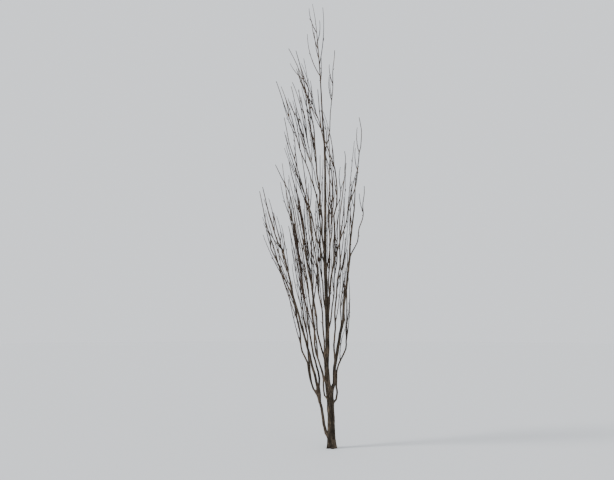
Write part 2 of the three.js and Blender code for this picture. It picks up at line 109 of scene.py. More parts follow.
# Elbows of the limbs: at each height, how far the line is set aside (x), straight in between
BENDS = {
    "left_outer": ((90, 0), (190, -31), (370, -3), (500, 8), (630, 14), (730, 27), (790, 39), (900, 34),
        (1030, 27), (1220, 26), (1330, 8), (2200, 0), (2670, 0), (2800, -38), (2990, -38), (3190, -34),
        (3360, -20), (3600, 0)),
    "left_low": ((700, 0), (765, -30), (900, -21), (1030, -19), (1120, -14), (1200, -26), (1270, -42),
        (1400, -34), (1560, -12), (1700, 3), (1830, 37), (1970, 52), (2110, 64), (2250, 56), (2390, 40),
        (2530, 11), (2670, -15), (2800, 18), (3200, 18), (3450, 5)),
    "left_mid": ((600, 0), (790, -6), (900, 14), (1030, 12), (1160, 17), (1290, 10), (1430, 0), (2700, 0),
        (2990, 16), (3180, 45), (3360, 70), (3500, 68), (3670, 30), (3850, 5)),
    "left_back": ((660, 0), (760, -22), (1030, -16), (1300, 0)),
    "left_front": ((590, 0), (690, -30), (770, -8), (900, 18), (1030, 18), (1160, 8), (1300, 0),
        (1830, -19), (2100, -22), (2230, -39), (2370, -56), (2780, -57), (3340, -30)),
    "centre_left": ((940, 0), (1030, 18), (1160, 40), (1230, 32), (1300, 14), (1430, 8), (1560, 0),
        (2700, 0), (3000, 20), (3200, 28), (3500, 30), (3800, 0)),
    "front_left": ((800, 0), (870, -15), (1010, -17), (1090, -33), (1170, -46), (1250, -54), (1430, -42),
        (1690, -42), (2300, 0)),
    "left_high": ((2430, 0), (2670, -10), (2800, -30), (3100, -28), (3500, 0)),
    "right_high": ((2400, 0), (2660, -26), (2810, -22), (3000, -10), (3200, -16), (3600, 0), (3880, -6),
        (4070, 8), (4140, 24), (4400, 24), (4580, 5)),
    "right_parallel": ((1790, 0), (3130, 0), (3270, 25), (3530, 28), (3680, 15), (3820, 0), (3950, -28),
        (4050, -53), (4150, -78), (4220, -108), (4340, -128), (4630, -135), (4940, -115)),
    "right_stem": ((600, 0), (760, 8), (840, 16), (930, 8), (1030, -6), (1160, -14), (1300, -24),
        (1430, -8), (1700, 14), (2200, 0), (3100, 0), (3260, -6), (3480, -28), (3730, -55)),
    "right_scaffold": ((540, 0), (630, 36), (710, 18), (790, -19), (900, -36), (1010, -50), (1090, -44),
        (1160, -24), (1230, 12), (1300, 40), (1360, 44), (1500, 25), (1640, 0)),
    "right_front": ((930, 0), (1030, -4), (1160, -22), (1300, -36), (1500, -48), (1750, -45), (2400, 0)),
}

# The rule for twigs. The finer whips and the short shoots on twigs and stems are not in the solids.
RULE_LABELS = ("spacing", "until", "share", "shortest", "steepest", "lift", "girth")
WHIPS = dict(zip(RULE_LABELS, (250, 0.74, 1.0, 200, 0.5, 1.1, 14)))
UPPER_WHIPS = {**WHIPS, "spacing": 220}
UPPER_FROM = 4300
TOP_WHIPS = {**WHIPS, "spacing": 125, "share": 0.8}
SPURS = dict(zip(RULE_LABELS, (300, 0.9, 0.12, 50, 0.6, 0.6, 8)))
FINE_WHIPS = dict(zip(RULE_LABELS, (700, 0.74, 0.8, 200, 0.5, 1.1, 10)))
SHOOTS = dict(zip(RULE_LABELS, (330, 0.8, 0.04, 28, 0.8, 0.3, 5)))
STEM_SHOOTS = dict(zip(RULE_LABELS, (240, 0.9, 0.03, 32, 0.8, 0.3, 5.5)))
SPURS_FROM, SPURS_SEEDS = 0.2, 50
SHOOTS_FROM, SHOOTS_SEEDS, STEM_SHOOTS_SEED, FINE_WHIPS_SEED = 0.12, 5000, 9000, 7000
TOP_SPREAD, TOP_SEED = 260, 13
# A twig that does not fit is tried again turned further round, and then shorter
TWIG_CUTS = (1, 0.7, 0.5)
TWIG_TURNS = (0, 2.1, 4.2)
# How far the seeded numbers change a twig: the lowest value, and what is added up to the highest
VARIED_PLACE, VARIED_TURN, VARIED_LENGTH = (0.3, 0.5), (0, 0.8), (0.4, 0.8)
VARIED_REACH, VARIED_LEAN = (0.55, 0.4), (0.75, 0.25)
TESTED_PLACES = (0.2, 0.4, 0.6, 0.8, 1)
FRAME_STEP = 0.002
CROWN_MIDDLE = -90
TWIG_CLEARANCE = 5
SPACE_MARGIN = 9
LINE_SAMPLES = 24


class PieceError(Exception):
    """A piece that can't be made from this frame"""


# Numbers

STREAM_SPREAD, STREAM_FACTOR, STREAM_STEP, STREAM_SIZE = 2654435761, 1664525, 1013904223, 2**32


def random_stream(seed):
    """A repeatable stream of numbers between 0 and 1, the same as for the solids"""
    state = (seed + 1) * STREAM_SPREAD % STREAM_SIZE
    while True:
        state = (state * STREAM_FACTOR + STREAM_STEP) % STREAM_SIZE
        yield state / STREAM_SIZE


def smooth(share):
    """Eases a share from 0 to 1"""
    share = np.clip(share, 0, 1)
    return share * share * (3 - 2 * share)


def zigzag(angle):
    """A wave of straight legs between -1 and 1"""
    return 2 / math.pi * np.arcsin(np.sin(angle))


def read_rows(rows, height):
    """A smooth curve through rows that start with a height, read at several heights"""
    table = np.array(rows, float)
    height = np.atleast_1d(height)
    k = np.clip(np.searchsorted(table[:, 0], height) - 1, 0, len(table) - 2)
    before, start, end, after = (table[np.clip(k + step, 0, len(table) - 1)] for step in (-1, 0, 1, 2))
    rise, lower, upper = end - start, end - before, after - start
    u = (height[:, None] - start[:, :1]) / rise[:, :1]
    slope_in, slope_out = lower / lower[:, :1] * rise[:, :1], upper / upper[:, :1] * rise[:, :1]
    cubic = slope_in + slope_out - 2 * rise
    curve = start + u * slope_in + u * u * (3 * rise - 2 * slope_in - slope_out) + u**3 * cubic
    return curve[:, 1:]


def closed_noise(column, row, columns, seed):
    """Smooth noise between 0 and 1 on a lattice that closes round a limb after a number of columns"""
    lattice = np.random.default_rng(seed).random((int(row.max()) + 2, columns))
    left, low = np.floor(column).astype(int), np.floor(row).astype(int)
    across, up = smooth(column - left), smooth(row - low)
    here, beside = left % columns, (left + 1) % columns
    bottom, top = (
        lattice[level, here] * (1 - across) + lattice[level, beside] * across for level in (low, low + 1)
    )
    return bottom * (1 - up) + top * up


# Lines of the trunk, the limbs and the twigs, as for the solids

class TrunkLine:
    """The trunk's line, whose parameter is the share of the tree's height"""

    name, carrier = "trunk", None
    foot, head = 0, TREE_HEIGHT
    girth = TRUNK_GIRTH[0][1]

    def points(self, t):
        height = np.atleast_1d(t) * TREE_HEIGHT
        return np.column_stack([read_rows(TRUNK_LEAN, height), height])

    def radii(self, t):
        return read_rows(TRUNK_GIRTH, np.atleast_1d(t) * TREE_HEIGHT)[:, 0] / 2

    def skin(self, t, angle):
        """The smooth radius at places along and round the trunk, with the flare of its foot"""
        lobe = 1 - FLARE_DEPTH + FLARE_DEPTH * np.cos(FLARE_LOBES * angle + FLARE_TURN)
        foot = np.exp(-t * TREE_HEIGHT / FLARE_HEIGHT)
        return self.radii(t)[:, None] + FLARE_RADIUS * lobe[None] * foot[:, None]


class LimbLine:
    """A limb's line: straight from its parent to its tip, with a bow, a sway, a slow wobble and kinks"""

    def __init__(self, row, parent, seed):
        (self.name, self.carrier, self.foot, tip, self.bow, self.sway,
         elbow, self.girth, self.enters, self.spread, self.seed) = row
        self.head = tip[2]
        self.root = parent.points((self.foot - parent.foot) / (parent.head - parent.foot))[0]
        self.tip = np.array(tip, float)
        outward = (self.tip - self.root) * (1, 1, 0)
        self.elbow = outward / np.linalg.norm(outward) * elbow
        draw = random_stream(seed)
        self.phases = (2 * math.pi * next(draw), 2 * math.pi * next(draw))
        self.bends = np.array(BENDS.get(self.name, ((0, 0),)), float)

    def points(self, t):
        t = np.atleast_1d(t)
        belly = 4 * t * (1 - t)
        run = 2 * math.pi * t * (self.head - self.foot)
        kinked = KINK_SIZE * np.minimum(t / ELBOW_SHARE, 1) * (1 - t)
        waves = [
            WOBBLE_SIZE * belly * np.sin(WOBBLE_WAVES * 2 * math.pi * t + phase)
            + kinked * zigzag(run / length + phase)
            for phase, length in zip(self.phases, KINK_LENGTHS)
        ]
        places = self.root + (self.tip - self.root) * t[:, None]
        bent = np.interp(self.foot + (self.head - self.foot) * t, *self.bends.T)
        places[:, 0] += self.bow[0] * belly + self.sway * np.sin(2 * math.pi * t) + waves[0] + bent
        places[:, 1] += self.bow[1] * belly + waves[1]
        rise = t[:, None] / ELBOW_SHARE
        return places + self.elbow * rise * np.exp(1 - rise) * (1 - t[:, None])

    def radii(self, t):
        return (TIP_GIRTH + (self.girth - TIP_GIRTH) * (1 - np.atleast_1d(t)) ** TAPER) / 2

    def skin(self, t, angle):
        """The smooth radius at places along and round the limb"""
        return np.repeat(self.radii(t)[:, None], len(angle), axis=1)


class TwigLine:
    """A twig's line: it starts along one direction and bends towards that of its stem"""

    def __init__(self, root, away, along, length, rule):
        self.root = root
        self.away = away
        self.along = along
        self.length = length
        self.lift = rule["lift"]
        self.girth = rule["girth"]

    def points(self, t):
        t = np.atleast_1d(t)[:, None]
        turned = self.lift * t * t / 2
        return self.root + self.away * self.length * (t - turned) + self.along * self.length * turned


def run_of(line, start=0.0):
    """The straight distance from a place on a line to its end"""
    ends = line.points(np.array([start, 1.0]))
    return float(np.linalg.norm(ends[1] - ends[0]))


def frames_along(line, t):
    """The direction of a line at several places, and two directions across it"""
    t = np.atleast_1d(t)
    along = line.points(np.minimum(t + FRAME_STEP, 1)) - line.points(np.maximum(t - FRAME_STEP, 0))
    along /= np.linalg.norm(along, axis=1)[:, None]
    across = np.array([1.0, 0, 0]) - along * along[:, :1]
    across /= np.linalg.norm(across, axis=1)[:, None]
    return along, across, np.cross(along, across)


TRUNK = TrunkLine()
LIMBS = {"trunk": TRUNK}
for limb_index, limb_row in enumerate(LIMB_ROWS):
    LIMBS[limb_row[0]] = LimbLine(limb_row, LIMBS[limb_row[1]], limb_index)


# The space of each mass of twigs

class Legs:
    """Sampled stretches of lines, for distances to them"""

    def __init__(self, stretches, samples=LINE_SAMPLES):
        sampled = []
        for line, start, end in stretches:
            t = np.linspace(start, end, samples + 1)
            places = line.points(t)
            sampled.append((places[:-1], places[1:] - places[:-1], line.radii(t)[:-1]))
        self.start, self.leg, self.radius = (np.concatenate(parts) for parts in zip(*sampled))

    def distances(self, places, to_skin=False):
        """The nearest distance from each place to the stretches, to their skin where asked"""
        towards = places[:, None] - self.start
        share = (towards * self.leg).sum(-1) / (self.leg * self.leg).sum(-1)
        gap = towards - self.leg * np.clip(share, 0, 1)[..., None]
        apart = np.linalg.norm(gap, axis=-1)
        return (apart - self.radius if to_skin else apart).min(1)


class Mass:
    """A mass of twigs on the upper part of one limb"""

    def __init__(self, name, line, enters, spread, whips, seed):
        self.name = name
        self.line = line
        self.enters = enters
        self.spread = spread
        self.whips = whips
        self.seed = seed
        self.tip = line.points(1.0)[0]
        self.stem = Legs([(line, enters, 1)])

    def take_neighbours(self, masses, limbs):
        """Keeps what this mass's twigs have to stay clear of"""
        self.other_stems = Legs([(mass.line, mass.enters, 1) for mass in masses if mass is not self])
        self.other_limbs = Legs([(line, 0, 1) for line in limbs.values() if line is not self.line])

    def fits(self, twig):
        """Says whether a twig keeps to this mass's space"""
        places = twig.points(np.array(TESTED_PLACES))
        reach = self.stem.distances(places)
        furthest = max(from_middle(self.tip), 2 * self.spread)
        if (reach > self.spread).any() or (places[:, 2] > self.tip[2]).any():
            return False
        if (from_middle(places) > furthest).any():
            return False
        if (self.other_stems.distances(places) < reach + SPACE_MARGIN).any():
            return False
        room = self.other_limbs.distances(places, to_skin=True)
        return not (room < TWIG_CLEARANCE + twig.girth).any()


def from_middle(places):
    """The level distance from the crown's middle"""
    return np.hypot(places[..., 0] - CROWN_MIDDLE, places[..., 1])


def varied(limits, share):
    """The lowest value, and a share of what is added to it"""
    return limits[0] + limits[1] * share


def shoots_along(line, start, rule, seed, mass):
    """Twigs along one line by one rule, each turned by the golden angle, with seeded changes"""
    shoots = []
    draw = random_stream(seed)
    run = run_of(line, start)
    count = int(rule["until"] * run / rule["spacing"])
    for k in range(count):
        shift, twist, longer, wider = next(draw), next(draw), next(draw), next(draw)
        along = rule["until"] * (k + varied(VARIED_PLACE, shift)) / (count + VARIED_PLACE[0])
        t = start + (1 - start) * along
        first_turn = k * GOLDEN_ANGLE + seed + varied(VARIED_TURN, twist)
        full = rule["share"] * run * (1 - along)
        wanted = max(rule["shortest"], full * varied(VARIED_LENGTH, longer))
        forward, across, other = (axis[0] for axis in frames_along(line, t))
        tries = [(wanted * cut, first_turn + more) for cut in TWIG_CUTS for more in TWIG_TURNS]
        for length, turn in tries:
            sideways = across * math.cos(turn) + other * math.sin(turn)
            reach = mass.spread * varied(VARIED_REACH, wider) / (length * (1 - rule["lift"] / 2))
            lean = min(math.asin(min(reach, 1)), rule["steepest"] * varied(VARIED_LEAN, wider))
            away = sideways * math.sin(lean) + forward * math.cos(lean)
            twig = TwigLine(line.points(t)[0], away, forward, length, rule)
            if length >= rule["shortest"] and mass.fits(twig):
                shoots.append(twig)
                break
    return shoots


def sprays_of(mass):
    """The mass's sprays: each whip with its spurs and finer shoots, and the short shoots on the stem"""
    start = mass.enters + SEAT_GAP / run_of(mass.line, mass.enters) * (1 - mass.enters)
    whips = shoots_along(mass.line, start, mass.whips, mass.seed, mass)
    whips += shoots_along(mass.line, start, FINE_WHIPS, mass.seed + FINE_WHIPS_SEED, mass)
    sprays = []
    for index, whip in enumerate(whips):
        seed = mass.seed * SPURS_SEEDS + index
        spray = [whip]
        spray += shoots_along(whip, SPURS_FROM, SPURS, seed, mass)
        for order, parent in enumerate(tuple(spray)):
            shoot_seed = mass.seed * SHOOTS_SEEDS + index * SPURS_SEEDS + order
            spray += shoots_along(parent, SHOOTS_FROM, SHOOTS, shoot_seed, mass)
        sprays.append(spray)
    stem_shoots = shoots_along(mass.line, start, STEM_SHOOTS, mass.seed + STEM_SHOOTS_SEED, mass)
    return sprays + [[shoot] for shoot in stem_shoots]


MASSES = [
    Mass(line.name, line, line.enters, line.spread,
         UPPER_WHIPS if line.head > UPPER_FROM else WHIPS, line.seed)
    for line in LIMBS.values() if line is not TRUNK
]
MASSES.append(Mass("top", TRUNK, LEADER_TOP / TREE_HEIGHT, TOP_SPREAD, TOP_WHIPS, TOP_SEED))
for tree_mass in MASSES:
    tree_mass.take_neighbours(MASSES, LIMBS)

# Pieces of twigs: each holds the masses of one side of the crown
SIDES = ("top", "left", "front", "right", "back")
TOP_FROM = 4600  # masses with a higher tip belong to the top


def side_of(mass):
    """The side of the crown that a mass is on"""
    if mass.tip[2] > TOP_FROM:
        return "top"
    x, y = mass.tip[0] - CROWN_MIDDLE, mass.tip[1]
    if abs(x) > abs(y):
        return "right" if x > 0 else "left"
    return "back" if y > 0 else "front"


# Meshes

def linked(name, data):
    """An object of the scene with its mesh, camera or lamp"""
    thing = bpy.data.objects.new(name, data)
    bpy.context.scene.collection.objects.link(thing)
    return thing


def solid_mesh(name, places, quads, triangles):
    """A mesh object from places in millimetres and its faces"""
    corners = np.concatenate([quads.ravel(), triangles.ravel()]).astype(np.int32)
    sizes = np.concatenate([np.full(len(quads), 4), np.full(len(triangles), 3)])
    mesh = bpy.data.meshes.new(name)
    mesh.vertices.add(len(places))
    mesh.vertices.foreach_set("co", (places * MM).ravel())
    mesh.loops.add(len(corners))
    mesh.loops.foreach_set("vertex_index", corners)
    mesh.polygons.add(len(sizes))
    mesh.polygons.foreach_set("loop_start", np.concatenate([[0], np.cumsum(sizes)[:-1]]))
    mesh.update(calc_edges=True)
    mesh.shade_smooth()
    return linked(name, mesh)


def line_mesh(name, places, edges=()):
    """A mesh object from lists of places in millimetres, with edges or as bare points"""
    mesh = bpy.data.meshes.new(name)
    mesh.from_pydata(np.concatenate(places) * MM, edges, [])
    return linked(name, mesh)


def give_attributes(piece, **rows):
    """Stores numbers or vectors on a piece's points, each row of them under its own name"""
    for label, values in rows.items():
        values = np.asarray(values, np.float32)
        kind, field = ("FLOAT", "value") if values.ndim == 1 else ("FLOAT_VECTOR", "vector")
        attribute = piece.data.attributes.new(label, kind, "POINT")
        attribute.data.foreach_set(field, values.ravel())


def fan(middle, ring, following):
    """Triangles from one corner to each side of a ring"""
    return np.stack([np.full(len(ring), middle), ring, following], axis=-1)


def tube_faces(rows, sides):
    """The faces of a closed tube whose last two corners are the middles of its ends"""
    ring = np.arange(sides)
    following = (ring + 1) % sides
    row = np.arange(rows - 1)[:, None] * sides
    here, beside = row + ring, row + following
    quads = np.stack([here, beside, beside + sides, here + sides], axis=-1).reshape(-1, 4)
    last = (rows - 1) * sides
    low, high = rows * sides, rows * sides + 1
    return quads, np.concatenate([fan(low, following, ring), fan(high, last + ring, last + following)])


# Bark in relief

WANDER_SHARE = 0.06  # how far a limb's middle strays, as a share of its radius
WANDER_WAVES, WANDER_PHASES = (310, 190), (0, 2)
ROW_STRETCH = 0.4  # rows lie further apart towards the tip
END_POINT = 0.2  # how far the tip's end stands out, as a share of the last row's step
LUMP_SHARE = 0.03
LUMP_COLUMNS, LUMP_LENGTH, LUMP_SEED = 5, 190, 3
GRAIN_DEPTH, GRAIN_WIDTH, GRAIN_LENGTH, GRAIN_SEED = 0.5, 4.5, 16, 4
YOUNG_GRAIN = 0.25  # share of the grain's depth on young bark
FEWEST_FURROWS, FEWEST_GRAINS = 5, 8
FURROW_SHEAR = 0.3  # columns that the furrows drift sideways in a furrow's length
FURROW_EDGE, FURROW_SOFTNESS = 0.58, 0.34
SMOOTH_GIRTH, FURROWED_GIRTH, AGEING = 16, 105, 0.7
KNOT_SPACING, KNOT_SIZE, KNOT_HEIGHT = 520, 0.3, 0.06  # size and height are shares of the girth
KNOT_SEED = 5
FORK_BLEND = 0.62  # of the thinner limb's girth
FORK_REACH = 7  # girths of the thinner limb
FORK_SAMPLES = 60


def furrows(around, distance, columns, length, seed):
    """How deep in a furrow each place is, from 0 on a ridge to 1"""
    row = distance / length
    deepest = 0
    for sign in (1, -1):
        column = around * columns + sign * FURROW_SHEAR * row
        noise = closed_noise(column, row + 0.5 * (1 - sign), columns, seed + sign + 1)
        ridge = 1 - np.abs(2 * noise - 1)
        deepest = np.maximum(deepest, smooth((ridge - FURROW_EDGE - FURROW_SOFTNESS / 2) / FURROW_SOFTNESS))
    return deepest


def knots(around, distance, girth, length, seed):
    """The height of old bud scars and healed stubs, scattered along a limb"""
    scatter = np.random.default_rng(seed)
    height = np.zeros_like(around)
    for place in np.arange(KNOT_SPACING / 2, length, KNOT_SPACING):
        middle = place + KNOT_SPACING * (scatter.random() - 0.5)
        turned = np.abs(around - scatter.random())
        sideways = np.minimum(turned, 1 - turned) * math.pi * girth
        apart = (sideways**2 + (distance - middle) ** 2) / (KNOT_SIZE * girth) ** 2
        height += KNOT_HEIGHT * girth * np.exp(-apart)
    return height


def fork_swell(places, forks):
    """How far the bark swells at each place, so that limbs run into each other at a fork"""
    swell = np.zeros(len(places))
    for other, middle, girth in forks:
        near = np.linalg.norm(places - middle, axis=1) < FORK_REACH * girth
        if not near.any():
            continue
        gap = np.abs(other.distances(places[near], to_skin=True))
        blend = FORK_BLEND * girth
        share = np.clip(1 - gap / blend, 0, 1)
        swell[near] = np.maximum(swell[near], share * share * blend / 4)
    return swell


def forks_of(line):
    """The limbs that meet a limb at a fork: the one that carries it and those that it carries"""
    forks = []
    for other in LIMBS.values():
        if other.carrier == line.name:
            child, middle = other, 0
        elif line.carrier == other.name:
            child, middle = line, (line.foot - other.foot) / (other.head - other.foot)
        else:
            continue
        share = FORK_REACH * child.girth / (other.head - other.foot)
        stretch = (other, max(middle - share, 0), min(middle + share, 1))
        forks.append((Legs([stretch], FORK_SAMPLES), child.root, child.girth))
    return forks


def stray_of(line, t, across, other, length, seed):
    """How far a limb's middle wanders off its smooth line"""
    turns = 2 * math.pi * t * length
    waves = [
        sum(np.sin(turns / size + seed + phase) for size in WANDER_WAVES) / len(WANDER_WAVES)
        for phase in WANDER_PHASES
    ]
    stray = WANDER_SHARE * line.radii(t) * smooth(t * length / WANDER_WAVES[0])
    return (across.T * waves[0] * stray + other.T * waves[1] * stray).T


def bark_piece(name, line, sides, mean_step, seed, bark, level=False):
    """A limb's bark in relief, with what its material reads: girth, furrow and grain"""
    length = line.head - line.foot
    share = np.linspace(0, 1, round(length / mean_step) + 1)
    t = share * (1 - ROW_STRETCH) + ROW_STRETCH * share**2
    _, across, other = frames_along(line, t)
    if level:
        across, other = np.tile((1.0, 0, 0), (len(t), 1)), np.tile((0, 1.0, 0), (len(t), 1))
    angle = np.arange(sides) * 2 * math.pi / sides
    outward = across[:, None] * np.cos(angle)[:, None] + other[:, None] * np.sin(angle)[:, None]
    radius = line.skin(t, angle)
    distance = np.repeat((t * length)[:, None], sides, axis=1)
    around = np.repeat((angle / (2 * math.pi))[None], len(t), axis=0)
    girth = 2 * line.radii(t)[:, None] + 0 * around

    columns = max(FEWEST_FURROWS, round(math.pi * line.girth / (bark.furrow_width / MM)))
    furrow = furrows(around, distance, columns, bark.furrow_length / MM, seed)
    old = np.clip((girth - SMOOTH_GIRTH) / (FURROWED_GIRTH - SMOOTH_GIRTH), 0, 1) ** AGEING
    lump = closed_noise(around * LUMP_COLUMNS, distance / LUMP_LENGTH, LUMP_COLUMNS, seed + LUMP_SEED) - 0.5
    columns = max(FEWEST_GRAINS, round(math.pi * line.girth / GRAIN_WIDTH))
    grain = closed_noise(around * columns, distance / GRAIN_LENGTH, columns, seed + GRAIN_SEED) - 0.5
    relief = 2 * LUMP_SHARE * radius * lump + GRAIN_DEPTH * (YOUNG_GRAIN + old) * grain
    relief += knots(around, distance, girth, length, seed + KNOT_SEED)
    relief -= bark.furrow_depth / MM * old * furrow

    middle = line.points(t) + stray_of(line, t, across, other, length, seed)
    places = middle[:, None] + outward * (radius + relief)[..., None]
    swell = fork_swell(places.reshape(-1, 3), forks_of(line)).reshape(radius.shape)
    places += outward * swell[..., None]
    ends = [middle[0], middle[-1] + (middle[-1] - middle[-2]) * END_POINT]
    quads, triangles = tube_faces(len(t), sides)
    piece = solid_mesh(name, np.concatenate([places.reshape(-1, 3), ends]), quads, triangles)

    straight = np.stack([radius * np.cos(angle), radius * np.sin(angle), distance], axis=-1).reshape(-1, 3)
    # The furrow depth is stored for the material, which paints shade into the furrows
    give_attributes(
        piece,
        girth=np.append(girth, [girth[0, 0], girth[-1, 0]]) * MM,
        furrow=np.append(furrow * old, [0, 0]),
        grain=np.concatenate([straight, [[0, 0, 0], [0, 0, length]]]) * MM,
    )
    piece.data.materials.append(bpy.data.materials.get(BARK) or bark_material(bark))
    return piece


# Twigs as kinked lines

KINK_SHARE = 0.13  # how far a twig kinks at a node, as a share of its girth
NODE_SWELL = 1.1
TWIG_TIP_GIRTH = 7
FINEST_TIP_GIRTH = 4
TWIG_TINTS = {"Grey twig": "grey_colour", "Red twig": "red_colour", "Tan twig": "tan_colour"}
BUD_SUNK = 0.36  # of the girth: the bud's foot is this far from the twig's middle
BUD_LEAN = math.radians(32)
BUD_SIZE = (0.7, 0.3)  # a bud's lowest size, and what a whip's full girth adds to it
TIP_BUD_SUNK = 1.0


def kinked(twig, node_gap, turn):
    """Places along a twig, with its girth at each and the way its buds point at every other one"""
    steps = 2 * max(2, round(twig.length / node_gap))
    t = np.linspace(0, 1, steps + 1)
    along, across, other = frames_along(twig, t)
    sideways = across * math.cos(turn) + other * math.sin(turn)
    row = np.arange(steps + 1)
    at_node = row % 2 == 0
    side = np.where(row % 4 == 0, 1, -1) * at_node
    tip_girth = TWIG_TIP_GIRTH if twig.girth > SHOOTS["girth"] else FINEST_TIP_GIRTH
    girth = twig.girth + (tip_girth - twig.girth) * t
    kink = KINK_SHARE * girth * side * (row > 0)
    places = twig.points(t) + sideways * kink[:, None]
    swell = np.where(at_node & (row > 0) & (row < steps), NODE_SWELL, 1.0)
    return places, girth * swell, sideways * side[:, None], along


class TwigLines:
    """Collects twigs as one mesh of edges, and the seats of their buds as one mesh of points"""

    def __init__(self, node_gap):
        self.node_gap = node_gap
        self.places, self.girths, self.tints, self.edges = [], [], [], []
        self.seats, self.points_to, self.sizes = [], [], []
        self.count = 0

    def add(self, twig, tint, turn):
        places, girth, sideways, along = kinked(twig, self.node_gap, turn)
        steps = len(places) - 1
        ladder = self.count + np.arange(steps)
        self.edges.append(np.stack([ladder, ladder + 1], axis=-1))
        self.places.append(places)
        self.girths.append(girth)
        self.tints.append(np.full(steps + 1, tint))
        self.count += steps + 1
        nodes = np.arange(2, steps, 2)
        self.seats += [places[nodes] + sideways[nodes] * girth[nodes, None] * BUD_SUNK,
                       places[-1:] - along[-1:] * TIP_BUD_SUNK]
        leaning = sideways[nodes] * math.sin(BUD_LEAN) + along[nodes] * math.cos(BUD_LEAN)
        self.points_to += [leaning, along[-1:]]
        self.sizes += [varied(BUD_SIZE, girth[nodes] / WHIPS["girth"]), [1.0]]

    def line_piece(self, name):
        """The twigs as edges, with the girth and the tint of each point"""
        piece = line_mesh(name, self.places, np.concatenate(self.edges))
        give_attributes(piece, girth=np.concatenate(self.girths) * MM, tint=np.concatenate(self.tints))
        return piece

    def seat_piece(self, name):
        """The seats of the buds as points, with the size of each and the way it points"""
        piece = line_mesh(name, self.seats)
        give_attributes(piece, size=np.concatenate(self.sizes), points_to=np.concatenate(self.points_to))
        return piece


# Nodes

def sum_pair(operation):
    """The two methods of one kind of sum: with the number before the sign, and after it"""

    def forward(self, other):
        return self.maker.add("ShaderNodeMath", {"operation": operation}, {0: self, 1: other})

    def reflected(self, other):
        return self.maker.add("ShaderNodeMath", {"operation": operation}, {0: other, 1: self})

    return forward, reflected


class Number:
    """A number in a node tree. Sums with it add Math nodes."""

    def __init__(self, maker, socket):
        self.maker = maker
        self.socket = socket

    __add__, __radd__ = sum_pair("ADD")
    __sub__, __rsub__ = sum_pair("SUBTRACT")
    __mul__, __rmul__ = sum_pair("MULTIPLY")


class NodeMaker:
    """Adds nodes to one tree"""

    def __init__(self, tree):
        self.tree = tree

    def add(self, kind, settings=None, sockets=None, output=0):
        """A new node with its settings, and the values or links of its sockets. Gives one output."""
        node = self.tree.nodes.new(kind)
        for label, value in (settings or {}).items():
            setattr(node, label, value)
        for label, value in (sockets or {}).items():
            if isinstance(value, Number):
                self.tree.links.new(value.socket, node.inputs[label])
            else:
                node.inputs[label].default_value = value
        return Number(self, node.outputs[output])

    def scaled(self, vector, factors):
        """A vector with each part multiplied by its own factor"""
        return self.add("ShaderNodeVectorMath", {"operation": "MULTIPLY"}, {0: vector, 1: factors})


class MaterialMaker(NodeMaker):
    """Makes one material"""

    ROUGHNESS, GLOSS = 0.9, 0.1

    def __init__(self, name):
        self.material = bpy.data.materials.new(name)
        self.material.use_nodes = True
        super().__init__(self.material.node_tree)
        self.shader = self.tree.nodes["Principled BSDF"]
        self.shader.inputs["Roughness"].default_value = self.ROUGHNESS
        self.shader.inputs["Specular IOR Level"].default_value = self.GLOSS

    def place(self):
        """The place on the piece"""
        return self.add("ShaderNodeTexCoord", output="Object")

    def attribute(self, label, output="Fac"):
        """An attribute of the mesh"""
        return self.add("ShaderNodeAttribute", {"attribute_name": label}, output=output)

    def noise(self, vector, scale, detail):
        """Noise between 0 and 1"""
        return self.add("ShaderNodeTexNoise", sockets={"Vector": vector, "Scale": scale, "Detail": detail})

    def between(self, value, low, high):
        """Eases a value from 0 at low to 1 at high"""
        settings = {"interpolation_type": "SMOOTHSTEP"}
        sockets = {"Value": value, "From Min": low, "From Max": high}
        return self.add("ShaderNodeMapRange", settings, sockets)

    def pattern(self, vector, scale, detail, low, high):
        """Noise eased from 0 at its low value to 1 at its high one"""
        return self.between(self.noise(vector, scale, detail), low, high)

    def mix(self, mask, first, second):
        """The first colour where the mask is 0, and the second where it is 1"""
        colours = [colour if isinstance(colour, Number) else (*colour, 1) for colour in (first, second)]
        settings = {"data_type": "RGBA", "clamp_factor": True}
        return self.add("ShaderNodeMix", settings, {0: mask, 6: colours[0], 7: colours[1]}, output=2)

    def finish(self, sockets):
        """Links what feeds the shader, and gives the material"""
        for label, number in sockets.items():
            self.tree.links.new(number.socket, self.shader.inputs[label])
        return self.material


# Materials

BARK = "Mulberry bark"
YOUNG_UNDER, OLD_OVER = 0.014, 0.06  # girths in metres
STREAK_STRETCH, PATCH_STRETCH, PORE_STRETCH = (1, 1, 0.09), (1, 1, 0.4), (1, 1, 1.8)

# Patterns: the noise's scale and detail, and the values between which the pattern comes up
STREAKS = (120, 3, 0.5, 0.66)
PATCHES = (16, 3, 0.42, 0.6)
CRACKS = (520, 4, 0.54, 0.68)
MOTTLE, MOTTLE_EDGES = (160, 5), (0.35, 0.7)
TWIG_MOTTLE = (260, 3, 0.3, 0.7)
PORE_SCALE, PORE_EDGES = 140, (0.22, 0.12)

# How strongly each pattern shows. A pair is the least share, and what a patch adds to it.
STREAK_SHOWS, MOTTLE_SHOWS = (0.2, 0.8), (0.1, 0.5)
# Painted shade: the cracks and the furrows are darkened by the first and the last of these shares
CRACK_SHADE_SHOWS, PORE_SHOWS, FURROW_SHADE_SHOWS = 0.55, 0.5, 0.9
MOTTLE_HEIGHT, CRACK_DEPTH, STREAK_HEIGHT, PORE_HEIGHT = 0.6, 0.5, 0.25, 0.2
BUMP_STRENGTH, BUMP_DISTANCE = 0.6, 0.0012

# Roughness: the lowest value, and what age and mottle add to it
BARK_ROUGHNESS, MOTTLE_ROUGHNESS = (0.72, 0.2), 0.08
TWIG_ROUGHNESS = (0.68, 0.14)
TWIG_SHADES = (0.7, 1.3)  # the darkest and the lightest, as shares of the colour


